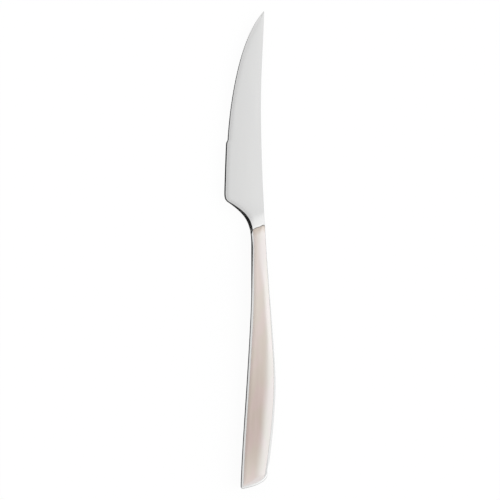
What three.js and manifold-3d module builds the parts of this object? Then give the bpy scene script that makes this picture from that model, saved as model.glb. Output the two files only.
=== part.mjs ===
// A table knife. Blade, neck and tang are one steel forging. The tang is a tray on both faces, and a
// pearl inlay is glued into each tray and pinned through the web between them.
// Millimetres. X runs across the knife from cutting edge to back, Y from butt to tip, Z through its
// thickness. It is drawn around the shoulder, on the axis of the neck, and moved to its base at the end.

import * as THREE from 'three';
import { mergeVertices } from 'three/addons/utils/BufferGeometryUtils.js';
import Module from 'manifold-3d';

const wasm = await Module();
wasm.setup();

// Lengths along the knife
const BLADE_LENGTH = 95.5; // heel to tip
const NECK_LENGTH = 14.25; // shoulder to heel
const HANDLE_LENGTH = 129.2; // shoulder to the front corner of the butt
const BLUNT_LENGTH = 29.5; // blunt edge between heel and step
const STEP_LENGTH = 1.5; // ramp between blunt and ground edge
const HEEL_ROUND = 4.2; // rounding of the heel, along the edge
const CHOIL_RUNOUT = 6.75; // hollow of the choil, past the shoulder
const BEVEL_RUNOUT = 11.6; // narrowing of the choil's bevel, past the shoulder
const FRONT_STRAIGHT = 29.75; // straight front side of the handle, from the shoulder
const HOLLOW_FROM_TIP = 47.5; // lowest point of the spine, from the tip
const SWELL_FROM_SHOULDER = 76.75; // widest place of the handle
const SHOULDER_SLANT = 3.5; // back end of the shoulder line above its front end
const BUTT_SLANT = 8.05; // back corner of the butt above its front corner

// Distances from the axis, and other sizes across the knife
const TIP_OFFSET = 3.5; // tip to axis, on the back side
const TIP_FLAT = 0.2; // width left at the tip
const SPINE_HOLLOW = 1.8; // spine to axis at its lowest
const EDGE_DEPTH = 16.55; // axis to edge at the heel
const BLUNT_LEAN = 0.9; // how far the blunt edge draws in towards the step
const STEP_DEPTH = 0.75; // blunt edge to ground edge
const HEEL_CORNER = 1.65; // rounding of the heel, across
const FRONT_OFFSET = 3.15; // axis to the handle's front side
const SWELL_OFFSET = 9.1; // axis to the handle's back at the swell
const BUTT_FRONT = 8.35; // axis to the front corner of the butt
const BUTT_BACK = 5.2; // axis to the back corner of the butt
const BUTT_RISE = 0.8; // rise of the near-straight stretch of the butt at its front corner
const BUTT_FLAT = 3.7; // width of that stretch
const BUTT_CORNER = 5.5; // bulge of the butt at its back corner

// Thicknesses
const TANG_THICKNESS = 7; // over the rims of the trays
const INLAY_RISE = 1; // crown of an inlay above the rim
const WEB_THICKNESS = 3; // between the floors of the trays
const SPINE_THICKNESS = 2.3; // spine at the heel
const TIP_SPINE_THICKNESS = 1.2; // spine at the tip
const BELLY_THICKNESS = 1.2; // above the bevel of the edge, at the heel
const TIP_BELLY_THICKNESS = 0.9; // above the bevel of the edge, at the tip
const EDGE_THICKNESS = 0.3; // ground edge
const HEEL_THICKNESS = 0.4; // blunt edge
const NECK_RISE = 16; // length of the ramp from blade to tang

// Bevels of the steel, seen from above, and how steeply those of the handle fall
const GRIND_BEVEL = 0.4;
const HEEL_BEVEL = 0.7;
const CHOIL_BEVEL = 1.9;
const RIM_BEVEL = 0.65;
const BACK_BEVEL = 0.3;
const BEVEL_FALL = 0.75; // drop for each millimetre across

// Fine teeth of the ground edge
const TOOTH_PITCH = 1.2;
const TOOTH_DEPTH = 0.15;
const TIP_PLAIN = 7; // untoothed edge at the tip
const STEP_PLAIN = 1.5; // untoothed edge at the step

// Trays and inlays
const FRONT_RIM = 1.5;
const BACK_RIM = 1.45; // at the swell and butt
const SHOULDER_BACK_RIM = 0.6; // at the shoulder
const BUTT_RIM = 1.6;
const SHOULDER_RIM = 1; // flat steel above the tray
const INLAY_GAP = 0.2; // inlay to the wall of its tray
const FILM_THICKNESS = 0.2; // glue
const INLAY_LIP = 0.2; // side of the inlay above the rim
const FRONT_ROUND = 1.5; // rounded shoulders of the inlay, from above
const BACK_ROUND = 2.6;
const SHOULDER_ROUND = 1.6;
const BUTT_ROUND = 2.4;
const INLAY_CORNER = 2.4; // rounding of the inlay's back corner at the shoulder

// Blind pins
const PIN_COUNT = 3;
const PIN_DIAMETER = 4;
const PIN_REACH = 2; // into each inlay
const PIN_CLEARANCE = 0.15;
const PIN_END_MARGIN = 34; // from each end of the inlay to the nearest pin

// How finely round shapes are divided
const ROUND_SIDES = 24; // pins, and the cutter of a tooth
const SIDE_STEPS = 24; // along the handle
const END_STEPS = 9; // across the handle
const LAND_STEPS = 2; // across the flat middle of an inlay
const HALVINGS = 40; // to find a point of an outline by its height
const NUDGE = 0.15; // to find an outline's direction

// Places worked out from the sizes above
const HEEL_Y = NECK_LENGTH;
const TIP_Y = HEEL_Y + BLADE_LENGTH;
const STEP_FOOT_Y = HEEL_Y + BLUNT_LENGTH;
const STEP_HEAD_Y = STEP_FOOT_Y + STEP_LENGTH;
const BUTT_Y = -HANDLE_LENGTH;
const BUTT_BACK_Y = BUTT_Y + BUTT_SLANT;
const NECK_HEAD_Y = SHOULDER_RIM + NECK_RISE;
const HALF_TANG = TANG_THICKNESS / 2;
const HALF_WEB = WEB_THICKNESS / 2;
const INLAY_FLOOR = HALF_WEB + FILM_THICKNESS;
const INLAY_WALL_TOP = HALF_TANG + INLAY_LIP;
const CROWN = HALF_TANG + INLAY_RISE;

const clamp = THREE.MathUtils.clamp;
const mix = THREE.MathUtils.lerp;

// A curve between two points. Each handle says how far along it lies, as shares of the span in X and Y.
function sweep(start, end, firstHandle, secondHandle) {
  const handle = ([shareX, shareY]) =>
    new THREE.Vector2(mix(start.x, end.x, shareX), mix(start.y, end.y, shareY));
  return new THREE.CubicBezierCurve(start, handle(firstHandle), handle(secondHandle), end);
}

// The front outline, from the tip down the edge, round the heel and choil and along the handle
const tipFront = new THREE.Vector2(TIP_OFFSET - TIP_FLAT, TIP_Y);
const stepHead = new THREE.Vector2(-EDGE_DEPTH + BLUNT_LEAN + STEP_DEPTH, STEP_HEAD_Y);
const stepFoot = new THREE.Vector2(-EDGE_DEPTH + BLUNT_LEAN, STEP_FOOT_Y);
const heelHead = new THREE.Vector2(-EDGE_DEPTH, HEEL_Y + HEEL_ROUND);
const heelFoot = new THREE.Vector2(-EDGE_DEPTH + HEEL_CORNER, HEEL_Y);
const choilFoot = new THREE.Vector2(-FRONT_OFFSET, -CHOIL_RUNOUT);
const frontBend = new THREE.Vector2(-FRONT_OFFSET, -FRONT_STRAIGHT);
const buttFront = new THREE.Vector2(-BUTT_FRONT, BUTT_Y);
const belly = sweep(tipFront, stepHead, [0.8, 0.24], [0.98, 0.88]);
const front = [
  { curve: belly, steps: 18 },
  { curve: new THREE.LineCurve(stepHead, stepFoot), steps: 1 },
  { curve: sweep(stepFoot, heelHead, [0.3, 0.13], [1, 0.9]), steps: 5 },
  { curve: sweep(heelHead, heelFoot, [0, 0.72], [0.6, 0.86]), steps: 5 },
  { curve: sweep(heelFoot, choilFoot, [0.74, 0.28], [1, 0.47]), steps: 12 },
  { curve: new THREE.LineCurve(choilFoot, frontBend), steps: 3 },
  { curve: sweep(frontBend, buttFront, [0, 0.21], [1, 0.84]), steps: 14 },
];

// The back outline, from the tip down the spine and over the swell to the butt
const tipBack = new THREE.Vector2(TIP_OFFSET, TIP_Y);
const hollow = new THREE.Vector2(SPINE_HOLLOW, TIP_Y - HOLLOW_FROM_TIP);
const swell = new THREE.Vector2(SWELL_OFFSET, -SWELL_FROM_SHOULDER);
const buttBack = new THREE.Vector2(BUTT_BACK, BUTT_BACK_Y);
const back = [
  { curve: sweep(tipBack, hollow, [0.6, 0.5], [1, 0.68]) },
  { curve: sweep(hollow, swell, [0, 0.42], [1, 0.85]) },
  { curve: sweep(swell, buttBack, [0, 0.12], [0.18, 0.52]) },
];

// The outline's point at a height. Every curve of an outline runs downwards, so halving finds it.
function pointAt(outline, y) {
  const isAbove = ({ curve }) => curve.getPoint(1).y <= y;
  const { curve } = outline.find(isAbove) ?? outline[outline.length - 1];
  let low = 0;
  let high = 1;
  for (let i = 0; i < HALVINGS; i += 1) {
    const middle = (low + high) / 2;
    if (curve.getPoint(middle).y > y) {
      low = middle;
    } else {
      high = middle;
    }
  }
  return curve.getPoint(low);
}

// Slanted lines across the knife, named by the height of their front end. They lie level on the blade.
function slantAt(y) {
  const down = clamp((HEEL_Y - y) / HEEL_Y, 0, 1);
  const alongHandle = clamp(y / BUTT_Y, 0, 1);
  const full = mix(SHOULDER_SLANT, BUTT_SLANT, alongHandle);
  return full * THREE.MathUtils.smoothstep(down, 0, 1);
}

// The curve of the butt. Insets move it inwards from the front, from the back and from below.
function buttCurve(frontInset, backInset, buttInset) {
  const shift = (point, x, y) => new THREE.Vector2(point.x + x, point.y + y);
  const start = shift(buttFront, frontInset, buttInset);
  const end = shift(buttBack, -backInset, 0);
  const startHandle = shift(start, BUTT_FLAT, BUTT_RISE);
  const endHandle = shift(end, 0, buttInset - BUTT_CORNER);
  return new THREE.CubicBezierCurve(start, startHandle, endHandle, end);
}

// How far a curve with the same ends stands off the straight line between them
function bowOf(curve, share) {
  const straight = curve.getPoint(0).lerp(curve.getPoint(1), share);
  return curve.getPoint(share).sub(straight);
}

// The share of an end's bow that is left at a distance from that end
function fade(distance, reach) {
  return clamp(1 - distance / reach, 0, 1) ** 2;
}

// The bows of the handle's ends reach as far along it as the butt is wide
const BOW_REACH = BUTT_FRONT + BUTT_BACK;

// A closed skin through stations along the knife. Each has a row of points above and one below.
function loft(stations) {
  const width = stations[0].above.length;
  const positions = [];
  for (const { above, below } of stations) {
    for (const point of [...above, ...below]) {
      positions.push(point.x, point.y, point.z);
    }
  }
  const index = [];
  const quad = (a, b, c, d) => index.push(a, b, c, a, c, d);
  const above = (station, i) => station * 2 * width + i;
  const below = (station, i) => above(station, i) + width;
  const last = stations.length - 1;
  for (let i = 0; i < width - 1; i += 1) {
    for (let s = 0; s < last; s += 1) {
      quad(above(s, i), above(s + 1, i), above(s + 1, i + 1), above(s, i + 1));
      quad(below(s, i), below(s, i + 1), below(s + 1, i + 1), below(s + 1, i));
    }
    quad(above(0, i), above(0, i + 1), below(0, i + 1), below(0, i));
    quad(above(last, i), below(last, i), below(last, i + 1), above(last, i + 1));
  }
  for (let s = 0; s < last; s += 1) {
    quad(above(s, 0), below(s, 0), below(s + 1, 0), above(s + 1, 0));
    quad(above(s, width - 1), above(s + 1, width - 1), below(s + 1, width - 1), below(s, width - 1));
  }
  const geometry = new THREE.BufferGeometry();
  geometry.setAttribute('position', new THREE.Float32BufferAttribute(positions, 3));
  geometry.setIndex(index);
  return geometry;
}

function toSolid(geometry) {
  const bare = geometry.clone();
  bare.deleteAttribute('normal');
  bare.deleteAttribute('uv');
  const merged = mergeVertices(bare);
  const vertProperties = new Float32Array(merged.attributes.position.array);
  const triVerts = new Uint32Array(merged.index.array);
  return new wasm.Manifold(new wasm.Mesh({ numProp: 3, vertProperties, triVerts }));
}

function toGeometry(solid) {
  const { vertProperties, triVerts } = solid.getMesh();
  const geometry = new THREE.BufferGeometry();
  geometry.setAttribute('position', new THREE.BufferAttribute(new Float32Array(vertProperties), 3));
  geometry.setIndex(new THREE.BufferAttribute(new Uint32Array(triVerts), 1));
  return geometry;
}

// A plate of one outline between two heights
function plate(outline, bottom, top) {
  const geometry = new THREE.ExtrudeGeometry(new THREE.Shape(outline), {
    depth: top - bottom,
    bevelEnabled: false,
  });
  return geometry.translate(0, 0, bottom);
}

// An upright round bar
function bar(place, radius, bottom, top) {
  const geometry = new THREE.CylinderGeometry(radius, radius, top - bottom, ROUND_SIDES);
  return geometry.rotateX(Math.PI / 2).translate(place.x, place.y, (bottom + top) / 2);
}

// The front bevel at a height: narrow on the edge, wide in the choil, narrow again on the handle
function frontBevelAt(y) {
  if (y >= STEP_HEAD_Y) {
    return GRIND_BEVEL;
  }
  if (y >= HEEL_Y) {
    return HEEL_BEVEL;
  }
  if (y >= SHOULDER_RIM) {
    return mix(CHOIL_BEVEL, HEEL_BEVEL, (y - SHOULDER_RIM) / (HEEL_Y - SHOULDER_RIM));
  }
  const pastShoulder = (SHOULDER_RIM - y) / BEVEL_RUNOUT;
  return mix(CHOIL_BEVEL, RIM_BEVEL, THREE.MathUtils.smoothstep(pastShoulder, 0, 1));
}

// Half thicknesses of the steel at a height: thin at the edge and spine of the blade, and rising in a
// ramp along the neck to the level rim of the tang
function halfThicknessAt(y) {
  const alongBlade = clamp((TIP_Y - y) / BLADE_LENGTH, 0, 1);
  const spine = mix(TIP_SPINE_THICKNESS, SPINE_THICKNESS, alongBlade) / 2;
  const aboveEdge = mix(TIP_BELLY_THICKNESS, BELLY_THICKNESS, alongBlade) / 2;
  const ramp = clamp((NECK_HEAD_Y - y) / NECK_RISE, 0, 1) ** 2;
  const frontFace = mix(aboveEdge, HALF_TANG, ramp);
  const backFace = mix(spine, HALF_TANG, ramp);
  const thinnest = (y >= STEP_HEAD_Y ? EDGE_THICKNESS : HEEL_THICKNESS) / 2;
  const edge = Math.max(thinnest, frontFace - BEVEL_FALL * frontBevelAt(y));
  const backEdge = Math.max(EDGE_THICKNESS / 2, backFace - BACK_BEVEL);
  return { edge, frontFace, backFace, backEdge };
}

// Near the tip the blade is narrower than its bevels, so they take no more than this share of it
const WIDEST_BEVEL_SHARE = 0.4;

// One station of the steel, on the slanted line at a height. The bevel runs at a set distance from the
// outline, so it takes more of a line that meets the outline askew.
function steelStation(y, atButt) {
  const start = pointAt(front, y);
  const end = pointAt(back, y + slantAt(y));
  const across = end.clone().sub(start);
  const width = across.length();
  const ahead = pointAt(front, Math.min(y + NUDGE, TIP_Y));
  const along = ahead.sub(pointAt(front, Math.max(y - NUDGE, BUTT_Y)));
  const squareness = Math.abs(across.cross(along)) / (width * along.length());
  const frontShare = Math.min(frontBevelAt(y) / (squareness * width), WIDEST_BEVEL_SHARE);
  const backShare = 1 - Math.min(BACK_BEVEL / width, WIDEST_BEVEL_SHARE);
  const bow = buttCurve(0, 0, 0);
  const bowLeft = fade(y - BUTT_Y, BOW_REACH);
  const { edge, frontFace, backFace, backEdge } = halfThicknessAt(y);
  const faceShares = Array.from({ length: END_STEPS + 1 }, (_, i) => i / END_STEPS);
  const places = [
    { share: 0, height: edge },
    ...faceShares.map((part) => ({
      share: mix(frontShare, backShare, part),
      height: atButt ? mix(edge, backEdge, part) : mix(frontFace, backFace, part),
    })),
    { share: 1, height: backEdge },
  ];
  const row = (side) => places.map(({ share, height }) => {
    const place = start.clone().lerp(end, share).addScaledVector(bowOf(bow, share), bowLeft);
    return new THREE.Vector3(place.x, place.y, side * height);
  });
  return { above: row(1), below: row(-1) };
}

function steelBlank() {
  const heights = front.flatMap(({ curve, steps }) => curve.getPoints(steps).slice(0, -1).map(({ y }) => y));
  const stations = heights.map((y) => steelStation(y, false));
  stations.push(steelStation(BUTT_Y + RIM_BEVEL, false));
  stations.push(steelStation(BUTT_Y, true));
  return toSolid(loft(stations));
}

// The plan of an inlay, as a patch between its front side, its back side and two curved ends.
// A gap widens it all round, which gives the plan of the tray.
function inlayPlan(gap) {
  const frontRim = FRONT_RIM - gap;
  const backRimAt = (y) => mix(SHOULDER_BACK_RIM, BACK_RIM, clamp(y / swell.y, 0, 1)) - gap;
  const lineStart = pointAt(front, 0);
  const lineEnd = pointAt(back, SHOULDER_SLANT);
  const shoulderLine = lineEnd.clone().sub(lineStart).normalize();
  const onLine = (x) => gap + ((x - lineStart.x) * shoulderLine.y) / shoulderLine.x;
  const corner = new THREE.Vector2(lineEnd.x - backRimAt(0), onLine(lineEnd.x - backRimAt(0)));
  const headFrontY = onLine(lineStart.x + frontRim);
  const headBackY = corner.y - INLAY_CORNER;
  const tail = buttCurve(frontRim, BACK_RIM - gap, BUTT_RIM - gap);
  const frontSide = (share) => {
    const y = mix(headFrontY, tail.v0.y, share);
    return new THREE.Vector2(pointAt(front, y).x + frontRim, y);
  };
  const backSide = (share) => {
    const y = mix(headBackY, tail.v3.y, share);
    return new THREE.Vector2(pointAt(back, y).x - backRimAt(y), y);
  };
  const cornerStart = corner.clone().addScaledVector(shoulderLine, -INLAY_CORNER);
  const head = new THREE.Path().moveTo(frontSide(0).x, frontSide(0).y);
  head.lineTo(cornerStart.x, cornerStart.y);
  head.quadraticCurveTo(corner.x, corner.y, backSide(0).x, backSide(0).y);
  const length = headFrontY - tail.v0.y;
  const point = (down, share) => {
    const place = frontSide(down).lerp(backSide(down), share);
    place.addScaledVector(bowOf(head, share), fade(down * length, BOW_REACH));
    place.addScaledVector(bowOf(tail, share), fade((1 - down) * length, BOW_REACH));
    return place;
  };
  const widthAt = (down) => frontSide(down).distanceTo(backSide(down));
  return { point, widthAt, length };
}

function planOutline(gap) {
  const { point } = inlayPlan(gap);
  const corners = [[0, 0], [1, 0], [1, 1], [0, 1], [0, 0]];
  const counts = [SIDE_STEPS, END_STEPS, SIDE_STEPS, END_STEPS];
  return counts.flatMap((count, side) => Array.from({ length: count }, (_, i) => {
    const down = mix(corners[side][0], corners[side + 1][0], i / count);
    const share = mix(corners[side][1], corners[side + 1][1], i / count);
    return point(down, share);
  }));
}

// The rounded shoulder of an inlay at a distance from its side
function shoulder(distance, width) {
  return Math.sin((clamp(distance / width, 0, 1) * Math.PI) / 2);
}

// Places across or along an inlay where its shoulders need an edge, as shares of its size
function shoulderShares(size, firstRound, lastRound, middleSteps) {
  const partsOfRound = [0, 0.2, 0.5, 1];
  const first = partsOfRound.map((part) => (part * firstRound) / size);
  const last = partsOfRound.map((part) => 1 - (part * lastRound) / size).reverse();
  const between = Array.from({ length: middleSteps - 1 }, (_, i) =>
    mix(first[first.length - 1], last[0], (i + 1) / middleSteps));
  return [...first, ...between, ...last];
}

// An inlay, for the front face with side 1 or the rear face with side -1
function inlayBlank(side) {
  const { point, widthAt, length } = inlayPlan(0);
  const stations = shoulderShares(length, SHOULDER_ROUND, BUTT_ROUND, SIDE_STEPS).map((down) => {
    const width = widthAt(down);
    const shares = shoulderShares(width, FRONT_ROUND, BACK_ROUND, LAND_STEPS);
    const endRise = shoulder(down * length, SHOULDER_ROUND) * shoulder((1 - down) * length, BUTT_ROUND);
    const face = shares.map((share) => {
      const sideRise = shoulder(share * width, FRONT_ROUND) * shoulder((1 - share) * width, BACK_ROUND);
      const place = point(down, share);
      return new THREE.Vector3(place.x, place.y, side * mix(INLAY_WALL_TOP, CROWN, sideRise * endRise));
    });
    const floor = face.map(({ x, y }) => new THREE.Vector3(x, y, side * INLAY_FLOOR));
    return side > 0 ? { above: face, below: floor } : { above: floor, below: face };
  });
  return toSolid(loft(stations));
}

// Scallops along the ground edge
function toothed(blank) {
  const radius = (TOOTH_PITCH ** 2 / 4 + TOOTH_DEPTH ** 2) / (2 * TOOTH_DEPTH);
  const toothedLength = belly.getLength() - TIP_PLAIN - STEP_PLAIN;
  const count = Math.floor(toothedLength / TOOTH_PITCH);
  let solid = blank;
  for (let i = 0; i < count; i += 1) {
    const along = (TIP_PLAIN + (i + 0.5) * TOOTH_PITCH) / belly.getLength();
    const direction = belly.getTangentAt(along);
    const outwards = new THREE.Vector2(direction.y, -direction.x);
    const place = belly.getPointAt(along).addScaledVector(outwards, radius - TOOTH_DEPTH);
    solid = solid.subtract(toSolid(bar(place, radius, -SPINE_THICKNESS, SPINE_THICKNESS)));
  }
  return solid;
}

const pinPlaces = Array.from({ length: PIN_COUNT }, (_, i) => {
  const { point, length } = inlayPlan(0);
  const margin = PIN_END_MARGIN / length;
  return point(mix(margin, 1 - margin, i / Math.max(PIN_COUNT - 1, 1)), 0.5);
});
const PIN_TOP = INLAY_FLOOR + PIN_REACH;

function pin(place, clearance) {
  const top = PIN_TOP + clearance;
  return bar(place, PIN_DIAMETER / 2 + clearance, -top, top);
}

function drilled(blank) {
  return pinPlaces.reduce((solid, place) => solid.subtract(toSolid(pin(place, PIN_CLEARANCE))), blank);
}

// A plate lying on the front face of the web with side 1, or on its rear face with side -1
function onWeb(outline, top, side) {
  return toSolid(side > 0 ? plate(outline, HALF_WEB, top) : plate(outline, -top, -HALF_WEB));
}

function bladeAndTang() {
  const tray = planOutline(INLAY_GAP);
  const blank = toothed(steelBlank());
  return drilled(blank.subtract(onWeb(tray, CROWN, 1)).subtract(onWeb(tray, CROWN, -1)));
}

const steel = new THREE.MeshStandardMaterial({ color: '#d6d7d7', roughness: 0.24, metalness: 1 });
const pearl = new THREE.MeshStandardMaterial({ color: '#d8cac2', roughness: 0.28, metalness: 0.1 });
const glue = new THREE.MeshStandardMaterial({ color: '#ded6c4', roughness: 0.6, metalness: 0 });
const pinSteel = new THREE.MeshStandardMaterial({ color: '#b4b6b8', roughness: 0.4, metalness: 1 });

const knife = new THREE.Group();

function addPiece(name, geometry, material) {
  const mesh = new THREE.Mesh(geometry, material);
  mesh.name = name;
  knife.add(mesh);
}

addPiece('blade_and_tang', toGeometry(bladeAndTang()), steel);
for (const [face, side] of [['front', 1], ['rear', -1]]) {
  addPiece(`${face}_inlay`, toGeometry(drilled(inlayBlank(side))), pearl);
  addPiece(`${face}_adhesive`, toGeometry(drilled(onWeb(planOutline(0), INLAY_FLOOR, side))), glue);
}
pinPlaces.forEach((place, i) => {
  addPiece(`dowel_pin_${i + 1}`, pin(place, 0), pinSteel);
});

// The knife lies on its rear inlay, with the middle of its base at the origin
const box = new THREE.Box3().setFromObject(knife);
const middle = box.getCenter(new THREE.Vector3());
knife.position.set(-middle.x, -middle.y, -box.min.z);

export default knife;
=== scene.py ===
# %% [markdown]
# # A table knife in steel and pearl
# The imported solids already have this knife's size and place, so they are the frame that every piece
# here hangs on. What they lack is surface: polished steel with softened edges, and the glossy inlays
# of the handle. The solids could be smoothed as they are, but their facets would stay, so the pieces
# that show are drawn again, more finely, from nearly the same lengths.

import math

import bmesh
import bpy
import numpy as np
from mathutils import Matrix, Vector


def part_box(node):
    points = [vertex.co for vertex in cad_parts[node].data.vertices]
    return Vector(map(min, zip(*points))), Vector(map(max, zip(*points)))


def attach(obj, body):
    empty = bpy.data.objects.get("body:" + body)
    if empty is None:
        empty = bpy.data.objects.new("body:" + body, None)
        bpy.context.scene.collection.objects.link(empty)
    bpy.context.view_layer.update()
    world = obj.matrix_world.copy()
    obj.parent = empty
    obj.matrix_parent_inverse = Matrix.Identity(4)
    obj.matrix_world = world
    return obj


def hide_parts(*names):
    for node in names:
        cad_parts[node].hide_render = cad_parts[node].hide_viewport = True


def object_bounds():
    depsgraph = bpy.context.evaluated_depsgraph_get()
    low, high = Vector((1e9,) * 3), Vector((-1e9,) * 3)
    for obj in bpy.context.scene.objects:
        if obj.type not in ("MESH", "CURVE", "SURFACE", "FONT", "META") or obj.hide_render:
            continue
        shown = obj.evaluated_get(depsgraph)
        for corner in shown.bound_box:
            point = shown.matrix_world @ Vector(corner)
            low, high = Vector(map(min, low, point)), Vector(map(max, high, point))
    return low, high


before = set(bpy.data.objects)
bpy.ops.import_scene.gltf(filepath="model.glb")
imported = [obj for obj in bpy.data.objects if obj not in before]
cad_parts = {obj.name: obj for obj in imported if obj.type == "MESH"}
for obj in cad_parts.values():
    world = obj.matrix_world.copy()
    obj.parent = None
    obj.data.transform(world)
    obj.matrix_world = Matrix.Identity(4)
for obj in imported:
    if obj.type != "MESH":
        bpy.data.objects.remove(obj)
cad_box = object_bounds()
steel_low, steel_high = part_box("blade_and_tang")
print("nodes:", sorted(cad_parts))

# %% [markdown]
# ## The drawing
# A cutler draws a knife around the shoulder, where blade and handle meet, with its outline as two
# lines from the tip to the butt. Tracing a picture would give hundreds of points. Here each stretch
# of outline is one Bezier curve between two named points, and its two handles are given as shares of
# the span, so the curve keeps its character when a length changes. X runs from the cutting edge to
# the back, Y from the butt to the tip.

# %% Lengths of the outline, in millimetres
MM = 0.001
BLADE_LENGTH = 95.5
NECK_LENGTH = 14.25
HANDLE_LENGTH = 129.2
BLUNT_LENGTH = 29.5
STEP_LENGTH = 1.5
HEEL_ROUND = 4.2
CHOIL_RUNOUT = 7.5
FRONT_STRAIGHT = 29.75
HOLLOW_FROM_TIP = 47.5
SWELL_FROM_SHOULDER = 76.75
SHOULDER_SLANT = 3.5
BUTT_SLANT = 8.05
TIP_OFFSET = 3.5
TIP_FLAT = 0.2
SPINE_HOLLOW = 1.8
EDGE_DEPTH = 16.55
BLUNT_LEAN = 0.9
STEP_DEPTH = 0.75
HEEL_CORNER = 1.65
FRONT_OFFSET = 3.06
SWELL_OFFSET = 9.1
BUTT_FRONT = 8.35
BUTT_BACK = 5.2
BUTT_RISE = 0.8
BUTT_FLAT = 3.7
BUTT_CORNER = 5.5

HEEL_Y = NECK_LENGTH
TIP_Y = HEEL_Y + BLADE_LENGTH
STEP_FOOT_Y = HEEL_Y + BLUNT_LENGTH
STEP_HEAD_Y = STEP_FOOT_Y + STEP_LENGTH
BUTT_Y = -HANDLE_LENGTH
SWELL_Y = -SWELL_FROM_SHOULDER

# The drawing's zero point in the frame: the tip, the swell and the mid-plane are read off the solid
drawing_zero = np.array([
    steel_high.x / MM - SWELL_OFFSET,
    steel_high.y / MM - TIP_Y,
    (steel_low.z + steel_high.z) / (2 * MM),
])
print("the drawing's zero lies at", drawing_zero.round(3), "mm in the frame")


# %% Curves
def mix(a, b, share):
    return a + (b - a) * share


def smooth(share):
    share = np.clip(share, 0, 1)
    return share * share * (3 - 2 * share)


def bezier(points, share):
    start, first, second, end = (np.array(point, float) for point in points)
    t = np.asarray(share, float)[..., None]
    rest = 1 - t
    return start * rest**3 + 3 * first * t * rest**2 + 3 * second * t**2 * rest + end * t**3


CURVE_POINTS = 801
FINE = np.linspace(0, 1, CURVE_POINTS)


def sweep(start, end, first, second):
    """A finely divided curve. Its handles are shares of the span in X and Y."""
    start = np.array(start)
    end = np.array(end)
    handles = [mix(start, end, np.array(share)) for share in (first, second)]
    return bezier([start, *handles, end], FINE)


def line(start, end):
    return mix(np.array(start), np.array(end), FINE[:, None])


def run_along(points):
    """Distance from the first point of a line to each of its points."""
    steps = np.linalg.norm(np.diff(points, axis=0), axis=1)
    return np.concatenate([[0.0], np.cumsum(steps)])


def evenly(points, step):
    """Points about one step apart along a line."""
    run = run_along(points)
    wanted = np.linspace(0, run[-1], round(run[-1] / step) + 1)
    return np.column_stack([np.interp(wanted, run, points[:, axis]) for axis in range(2)])


print("a curve is drawn with", CURVE_POINTS, "points")

# %% The front outline, from the tip to the butt
tip_front = (TIP_OFFSET - TIP_FLAT, TIP_Y)
step_head = (-EDGE_DEPTH + BLUNT_LEAN + STEP_DEPTH, STEP_HEAD_Y)
step_foot = (-EDGE_DEPTH + BLUNT_LEAN, STEP_FOOT_Y)
heel_head = (-EDGE_DEPTH, HEEL_Y + HEEL_ROUND)
heel_foot = (-EDGE_DEPTH + HEEL_CORNER, HEEL_Y)
choil_foot = (-FRONT_OFFSET, -CHOIL_RUNOUT)
front_bend = (-FRONT_OFFSET, -FRONT_STRAIGHT)
butt_front = (-BUTT_FRONT, BUTT_Y)
belly = sweep(tip_front, step_head, (0.8, 0.24), (0.98, 0.88))
step = line(step_head, step_foot)
blunt = sweep(step_foot, heel_head, (0.3, 0.13), (1, 0.9))
heel = sweep(heel_head, heel_foot, (0, 0.72), (0.6, 0.86))
choil = sweep(heel_foot, choil_foot, (0.74, 0.28), (1, 0.46))
straight = line(choil_foot, front_bend)
handle_front = sweep(front_bend, butt_front, (0, 0.21), (1, 0.84))
front_runs = [belly, step, blunt, heel, choil, straight, handle_front]
edge_length = run_along(belly)[-1]
print("the ground edge is", round(edge_length, 1), "mm long")

# %% The back outline
tip_back = (TIP_OFFSET, TIP_Y)
hollow = (SPINE_HOLLOW, TIP_Y - HOLLOW_FROM_TIP)
swell = (SWELL_OFFSET, SWELL_Y)
butt_back = (BUTT_BACK, BUTT_Y + BUTT_SLANT)
back_runs = [
    sweep(tip_back, hollow, (0.6, 0.5), (1, 0.68)),
    sweep(hollow, swell, (0, 0.42), (1, 0.85)),
    sweep(swell, butt_back, (0, 0.12), (0.18, 0.52)),
]


def across_at(runs):
    """A function that gives an outline's X at a height. Every run goes downwards, so it is one line."""
    points = np.concatenate(runs)[::-1]
    return lambda y: np.interp(y, points[:, 1], points[:, 0])


front_x = across_at(front_runs)
back_x = across_at(back_runs)
swell_width = back_x(SWELL_Y) - front_x(SWELL_Y)
print("the handle is", round(float(swell_width), 1), "mm wide at its swell")


# %% The butt's curve
def butt_points(front_inset, back_inset, butt_inset):
    """The butt's curve, moved inwards from the front, from the back and from below."""
    start = np.array(butt_front) + (front_inset, butt_inset)
    end = np.array(butt_back) - (back_inset, 0)
    start_handle = start + (BUTT_FLAT, BUTT_RISE)
    end_handle = end + (0, butt_inset - BUTT_CORNER)
    return [start, start_handle, end_handle, end]


def bow(points, share):
    """How far a curve stands off the straight line between its ends."""
    return bezier(points, share) - mix(points[0], points[3], np.asarray(share)[..., None])


def fade(distance, reach):
    """1 where the distance is nothing, falling to 0 at the reach."""
    return np.clip(1 - distance / reach, 0, 1) ** 2


BOW_REACH = BUTT_FRONT + BUTT_BACK
print("the butt bends the lines across the handle over", round(BOW_REACH, 2), "mm")

# %% [markdown]
# ## Blade, neck and tang
# On the real knife these are one forging: thin at the edge, thicker along the spine, and ramped up
# over the neck to the frame around the inlays. A box model with a Subdivision Surface would round
# the shape but lose its crisp bevels. So the steel is lofted: a section is drawn on many slanted
# lines across the knife, with each corner of the section eased by a small arc as a polisher's wheel
# eases it, and a skin is stretched over them.

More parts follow.
